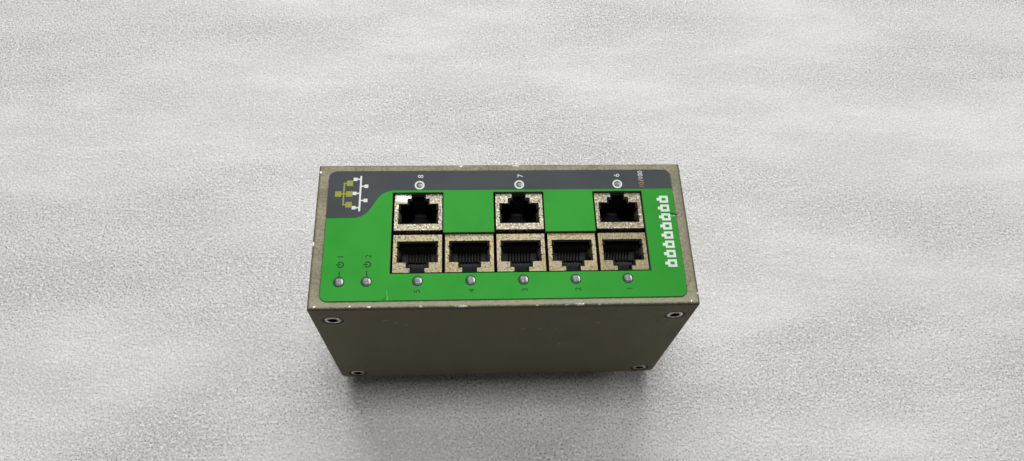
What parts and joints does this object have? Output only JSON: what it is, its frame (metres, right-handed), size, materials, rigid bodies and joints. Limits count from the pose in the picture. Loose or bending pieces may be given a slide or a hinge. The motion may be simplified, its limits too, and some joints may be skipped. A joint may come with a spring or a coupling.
{
  "type": "din rail ethernet switch",
  "caption": "Metal-cased network switch for a mounting rail: folded housing, printed front with shielded jacks and lamps, boards inside, sprung rail latch.",
  "frame": {"origin": "centre of the part's outline, at the underside of the rail clip it lies on", "axes": "+X along the long side, toward the latch; +Y across the housing, from the lower jack row to the upper; +Z out of the front panel"},
  "size_m": [0.1272, 0.053, 0.0827],
  "materials": {
    "khaki_paint": "fine-textured khaki grey paint on folded sheet, worn bright at the folds",
    "dark_screw": "dulled, slightly oxidised steel",
    "overlay_green": "green printed polyester film, satin",
    "overlay_grey": "dark grey printed field, satin",
    "tinned_shield": "dull tinned brass sheet with light tarnish",
    "black_moulding": "black moulded plastic",
    "gold_contact": "gold-plated spring wire",
    "frosted_lamp": "diffuse resin",
    "circuit_board": "solder-masked glass laminate",
    "zinc_steel": "zinc-plated steel",
    "green_moulding": "green moulded plastic",
    "tinned_pin": "tinned copper",
    "black_package": "moulded component package",
    "clip_moulding": "black glass-filled plastic"
  },
  "bodies": {
    "switch": {"board_header": "black_package", "board_screws": "zinc_steel", "board_socket": "black_package", "board_spacers": "zinc_steel", "board_standoffs": "zinc_steel", "clinch_nuts": "zinc_steel", "clip_body": "clip_moulding", "clip_screws": "zinc_steel", "crystal": "tinned_shield", "earth_nut": "zinc_steel", "earth_screw": "zinc_steel", "front_cover": "khaki_paint", "front_overlay": "overlay_green", "jack_contacts_1": "gold_contact", "jack_contacts_2": "gold_contact", "jack_contacts_3": "gold_contact", "jack_contacts_4": "gold_contact", "jack_contacts_5": "gold_contact", "jack_contacts_6": "gold_contact", "jack_contacts_7": "gold_contact", "jack_contacts_8": "gold_contact", "jack_insert_1": "black_moulding", "jack_insert_2": "black_moulding", "jack_insert_3": "black_moulding", "jack_insert_4": "black_moulding", "jack_insert_5": "black_moulding", "jack_insert_6": "black_moulding", "jack_insert_7": "black_moulding", "jack_insert_8": "black_moulding", "jack_shield_1": "tinned_shield", "jack_shield_2": "tinned_shield", "jack_shield_3": "tinned_shield", "jack_shield_4": "tinned_shield", "jack_shield_5": "tinned_shield", "jack_shield_6": "tinned_shield", "jack_shield_7": "tinned_shield", "jack_shield_8": "tinned_shield", "lamp_port_1": "frosted_lamp", "lamp_port_2": "frosted_lamp", "lamp_port_3": "frosted_lamp", "lamp_port_4": "frosted_lamp", "lamp_port_5": "frosted_lamp", "lamp_port_6": "frosted_lamp", "lamp_port_7": "frosted_lamp", "lamp_port_8": "frosted_lamp", "lamp_power_1": "frosted_lamp", "lamp_power_2": "frosted_lamp", "main_board": "circuit_board", "overlay_grey_field": "overlay_grey", "port_transformers": "black_package", "power_capacitors": "black_package", "power_inductor": "black_package", "rear_chassis": "khaki_paint", "side_screws": "dark_screw", "switch_chip": "black_package", "terminal_header": "green_moulding", "terminal_pins": "tinned_pin", "upper_board": "circuit_board", "latch_spring": "zinc_steel"},
    "latch": {"clip_latch": "clip_moulding"}
  },
  "joints": [
    {"name": "latch_slide", "type": "slide", "parent": "switch", "child": "latch", "axis": [1, 0, 0], "range_m": [0, 0.004], "stiffness_N_per_m": 1500, "springref_m": -0.002, "deforming": ["latch_spring"]}
  ]
}
